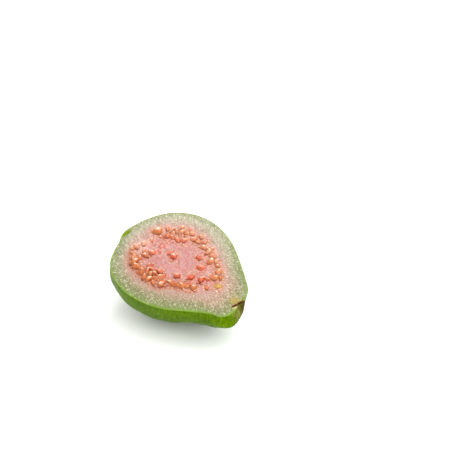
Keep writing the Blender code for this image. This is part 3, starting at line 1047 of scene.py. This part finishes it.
def face_material():
    """Cut face: lime rim, green to beige grainy wall, seedy wet pulp and its smooth pink middle."""
    make = Nodes("guava_cut_face")
    fruit = make.attribute("fruit", "Vector")
    fibre = make.attribute("fibre", "Vector")
    to_rim = make.attribute("to_rim")
    to_core = make.attribute("to_core")
    ring = make.attribute("ring")
    wander = make.noise(fruit, 0.30, 3.0)
    core = make.shifted(to_core, wander, 4.0)
    colour = wall_colour(make, fruit, to_rim)
    colour = make.mix(make.span(core, -4.5, 3.0, 0.0, 0.95), colour, srgb(196, 154, 142))
    middle = make.mix(make.span(wander, 0.38, 0.60), srgb(214, 152, 154), srgb(213, 132, 124))
    colour = make.mix(make.span(core, 1.0, 8.0, 0.0, 0.95), colour, middle)
    calm = make.span(core, 6.0, -1.0, 0.04, 1.0)
    colour, flecks = flecked(make, colour, fibre, calm)
    seedy = pulp_colour(make, fruit, make.attribute("halo"), to_core)
    inside = make.span(to_core, -2.5, 1.5, 0.30, 0.92)
    colour = make.mix(make.math("MULTIPLY", make.span(ring, 0.20, 1.00), inside), colour, seedy)
    # Lime line along the rim: partly the green flesh under the skin, partly a painted highlight on the cut
    # edge; paler on the far side, partly painted sheen
    edge = make.mix(make.attribute("far"), srgb(128, 166, 34), srgb(150, 172, 84))
    colour = make.mix(make.span(make.attribute("pit"), 0.05, 0.5), colour, srgb(160, 182, 30))
    colour = make.mix(make.span(to_rim, 1.1, 0.2, 0.0, 0.90), colour, edge)
    stain = make.shifted(make.attribute("stain"), wander, 0.8)
    colour = make.mix(make.span(stain, 0.05, 1.0, 0.0, 0.75), colour, srgb(180, 154, 50))
    torn = make.math("MAXIMUM", make.attribute("cleft"), make.attribute("sliver"))
    colour = make.mix(make.span(torn, 0.10, DRY_SHARE, 0.0, 0.6), colour, srgb(150, 112, 50))
    make.set(Base_Color=colour, Roughness=make.span(flecks, 0.3, 0.7, 0.42, 0.24))
    make.set(Specular_IOR_Level=0.28, Coat_Weight=0.15, Coat_Roughness=0.14)
    make.set(Subsurface_Weight=0.2, Subsurface_Radius=(1.0, 0.55, 0.35), Subsurface_Scale=1.2 * MM)
    normal = make.bump(flecks, 0.36 * MM, 0.9)
    wet = make.noise(fruit, 1.1, 3.0, 0.6)
    normal = make.bump(wet, 0.20 * MM, 0.8, normal)
    make.set(Normal=normal)
    return make.material


def stem_material():
    """Dry tissue beside the stem: dark brown cleft, tan sliver."""
    make = Nodes("guava_stem")
    fibre = make.attribute("fibre", "Vector")
    grain = make.noise(fibre, 2.0, 3.0, 0.6)
    colour = make.mix(make.span(grain, 0.4, 0.6), srgb(206, 176, 128), srgb(232, 208, 166))
    dark = make.mix(make.span(grain, 0.4, 0.6), srgb(60, 28, 4), srgb(110, 62, 16))
    edge = make.math("SUBTRACT", make.attribute("cleft"), make.attribute("sliver"))
    colour = make.mix(make.span(edge, -0.35, 0.05), colour, dark)
    make.set(Base_Color=colour, Roughness=0.8, Specular_IOR_Level=0.05)
    make.set(Normal=make.bump(grain, 0.2 * MM, 0.8))
    return make.material


def seed_material():
    """Wet seeds: tan orange with painted highlights on their tops and painted shade on their undersides,
    painted sheen on the far side and painted shade on the near side, redder towards the middle.
    """
    make = Nodes("guava_seed")
    tone = make.attribute("tone")
    painted_light = make.attribute("painted_light")
    fruit = make.attribute("fruit", "Vector")
    blotch = make.noise(fruit, 0.8, 3.0, 0.6)
    colour = make.ramp(make.attribute("rich"), SEED_TONES)
    colour = make.mix(make.span(tone, 0.60, 0.85, 0.0, 0.35), colour, srgb(216, 144, 86))
    colour = make.mix(make.span(blotch, 0.52, 0.66, 0.0, 0.5), colour, srgb(228, 142, 66))
    colour = make.mix(make.span(blotch, 0.48, 0.34, 0.0, 0.6), colour, srgb(158, 66, 8))
    colour = make.mix(make.span(tone, 0.93, 0.96, 0.0, 0.90), colour, srgb(200, 150, 44))
    # Paler on the far side: painted sheen; the pale patch beside the blossom end is the seeds' own colour
    across = make.axes(fruit)["Y"]
    pale = make.math("MULTIPLY", make.attribute("pale"), 0.85)
    pale = make.math("MAXIMUM", make.span(across, 7.0, 15.0, 0.0, 0.32), pale)
    colour = make.mix(pale, colour, srgb(240, 176, 146))
    # Darker on the near side: painted shade
    colour = make.mix(make.span(across, -4.0, -14.0, 0.0, 0.35), colour, srgb(176, 78, 12))
    # Painted shade on the undersides, painted highlights on the tops
    colour = make.mix(make.span(painted_light, 0.72, 0.42, 0.0, 0.92), colour, srgb(132, 52, 0))
    painted_highlight = make.math("MULTIPLY", make.span(painted_light, 0.78, 0.94), make.span(blotch, 0.44, 0.58, 0.40, 0.95))
    colour = make.mix(painted_highlight, colour, srgb(255, 228, 196))
    make.set(Base_Color=colour, Roughness=0.28, Specular_IOR_Level=0.30)
    make.set(Specular_Tint=(1.0, 0.82, 0.60, 1.0), Coat_Weight=0.9, Coat_Roughness=0.12, Coat_IOR=1.5)
    make.set(Subsurface_Weight=0.25, Subsurface_Radius=(1.0, 0.4, 0.2), Subsurface_Scale=0.9 * MM)
    make.set(Normal=make.bump(blotch, 0.30 * MM, 0.8))
    return make.material


def floor_material():
    """Plain matt white floor."""
    make = Nodes("floor")
    make.set(Base_Color=(FLOOR_WHITE, FLOOR_WHITE, FLOOR_WHITE, 1.0), Roughness=0.7, Specular_IOR_Level=0.2)
    return make.material


# Stage

def view_axes():
    """Directions of the photograph: towards the camera, to its right and up in its picture."""
    sin_a, cos_a = math.sin(CAMERA_AZIMUTH), math.cos(CAMERA_AZIMUTH)
    sin_e, cos_e = math.sin(CAMERA_ELEVATION), math.cos(CAMERA_ELEVATION)
    back = Vector((sin_a * cos_e, -cos_a * cos_e, sin_e))
    right = Vector((cos_a, sin_a, 0.0))
    return back, right, back.cross(right)


def build_camera():
    """Camera at the photograph's angle, with the half where it falls in the frame."""
    back, right, up = view_axes()
    face = Vector(FACE_CENTRE) * MM
    middle = PHOTO_SIZE / 2
    across = (middle - FACE_CENTRE_PIXEL[0]) * MM_PER_PIXEL * MM
    above = (FACE_CENTRE_PIXEL[1] - middle) * MM_PER_PIXEL * MM
    target = face + right * across + up * above
    data = bpy.data.cameras.new("camera")
    data.sensor_width = SENSOR_WIDTH
    data.lens = SENSOR_WIDTH * CAMERA_DISTANCE / (PHOTO_SIZE * MM_PER_PIXEL * MM)
    camera = bpy.data.objects.new("camera", data)
    camera.location = face + back * CAMERA_DISTANCE
    camera.rotation_euler = (target - camera.location).to_track_quat("-Z", "Y").to_euler()
    bpy.context.scene.collection.objects.link(camera)
    bpy.context.scene.camera = camera


def area_light(name, place, size, power):
    """Soft square light aimed at the object."""
    data = bpy.data.lights.new(name, "AREA")
    data.size = size
    data.energy = power
    light = bpy.data.objects.new(name, data)
    light.location = place
    light.rotation_euler = (Vector(LIGHT_AIM) - place).to_track_quat("-Z", "Y").to_euler()
    bpy.context.scene.collection.objects.link(light)


def build_lights():
    """Wide soft lamp overhead, small one behind for wet glints, soft front fill, even surroundings."""
    back, right = view_axes()[:2]
    area_light("key", Vector(KEY_DIRECTION) * KEY_DISTANCE, KEY_SIZE, KEY_POWER)
    area_light("glint", Vector(GLINT_DIRECTION) * GLINT_DISTANCE, GLINT_SIZE, GLINT_POWER)
    area_light("fill", back * FILL_BACK + right * FILL_RIGHT, FILL_SIZE, FILL_POWER)
    world = bpy.data.worlds.new("surroundings")
    world.use_nodes = True
    shade = world.node_tree.nodes["Background"]
    shade.inputs["Color"].default_value = (1.0, 1.0, 1.0, 1.0)
    shade.inputs["Strength"].default_value = AMBIENT
    bpy.context.scene.world = world


def build_floor():
    """Wide plain floor."""
    bm = bmesh.new()
    bmesh.ops.create_grid(bm, x_segments=1, y_segments=1, size=FLOOR_HALF)
    mesh = bpy.data.meshes.new("floor")
    bm.to_mesh(mesh)
    bm.free()
    mesh.materials.append(floor_material())
    floor = bpy.data.objects.new("floor", mesh)
    bpy.context.scene.collection.objects.link(floor)


def main():
    rng = random.Random(RANDOM_SEED)
    places = seed_places(rng)
    places += [(Vector((x, y)), length, SMALL_SEED_SINK) for x, y, length in SMALL_SEEDS]
    body = build_body(places)
    body.data.materials.append(skin_material())
    body.data.materials.append(face_material())
    body.data.materials.append(stem_material())
    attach(body, "root")
    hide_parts("shell", "pulp")
    coat = seed_material()
    seeds = build_kernels("seeds", places, SEED_DIVISIONS, SEED_SWELL, SEED_LIFT, 0.0, rng)
    strewn = grain_places(places, rng)
    grains = build_kernels("pulp_grains", strewn, GRAIN_DIVISIONS, 1.0, SEED_LIFT, GRAIN_LIGHT_FADE, rng)
    for kernels in (seeds, grains):
        kernels.data.materials.append(coat)
        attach(kernels, "root")
    build_camera()
    build_lights()
    build_floor()
    bpy.context.scene.view_settings.view_transform = "Standard"


main()
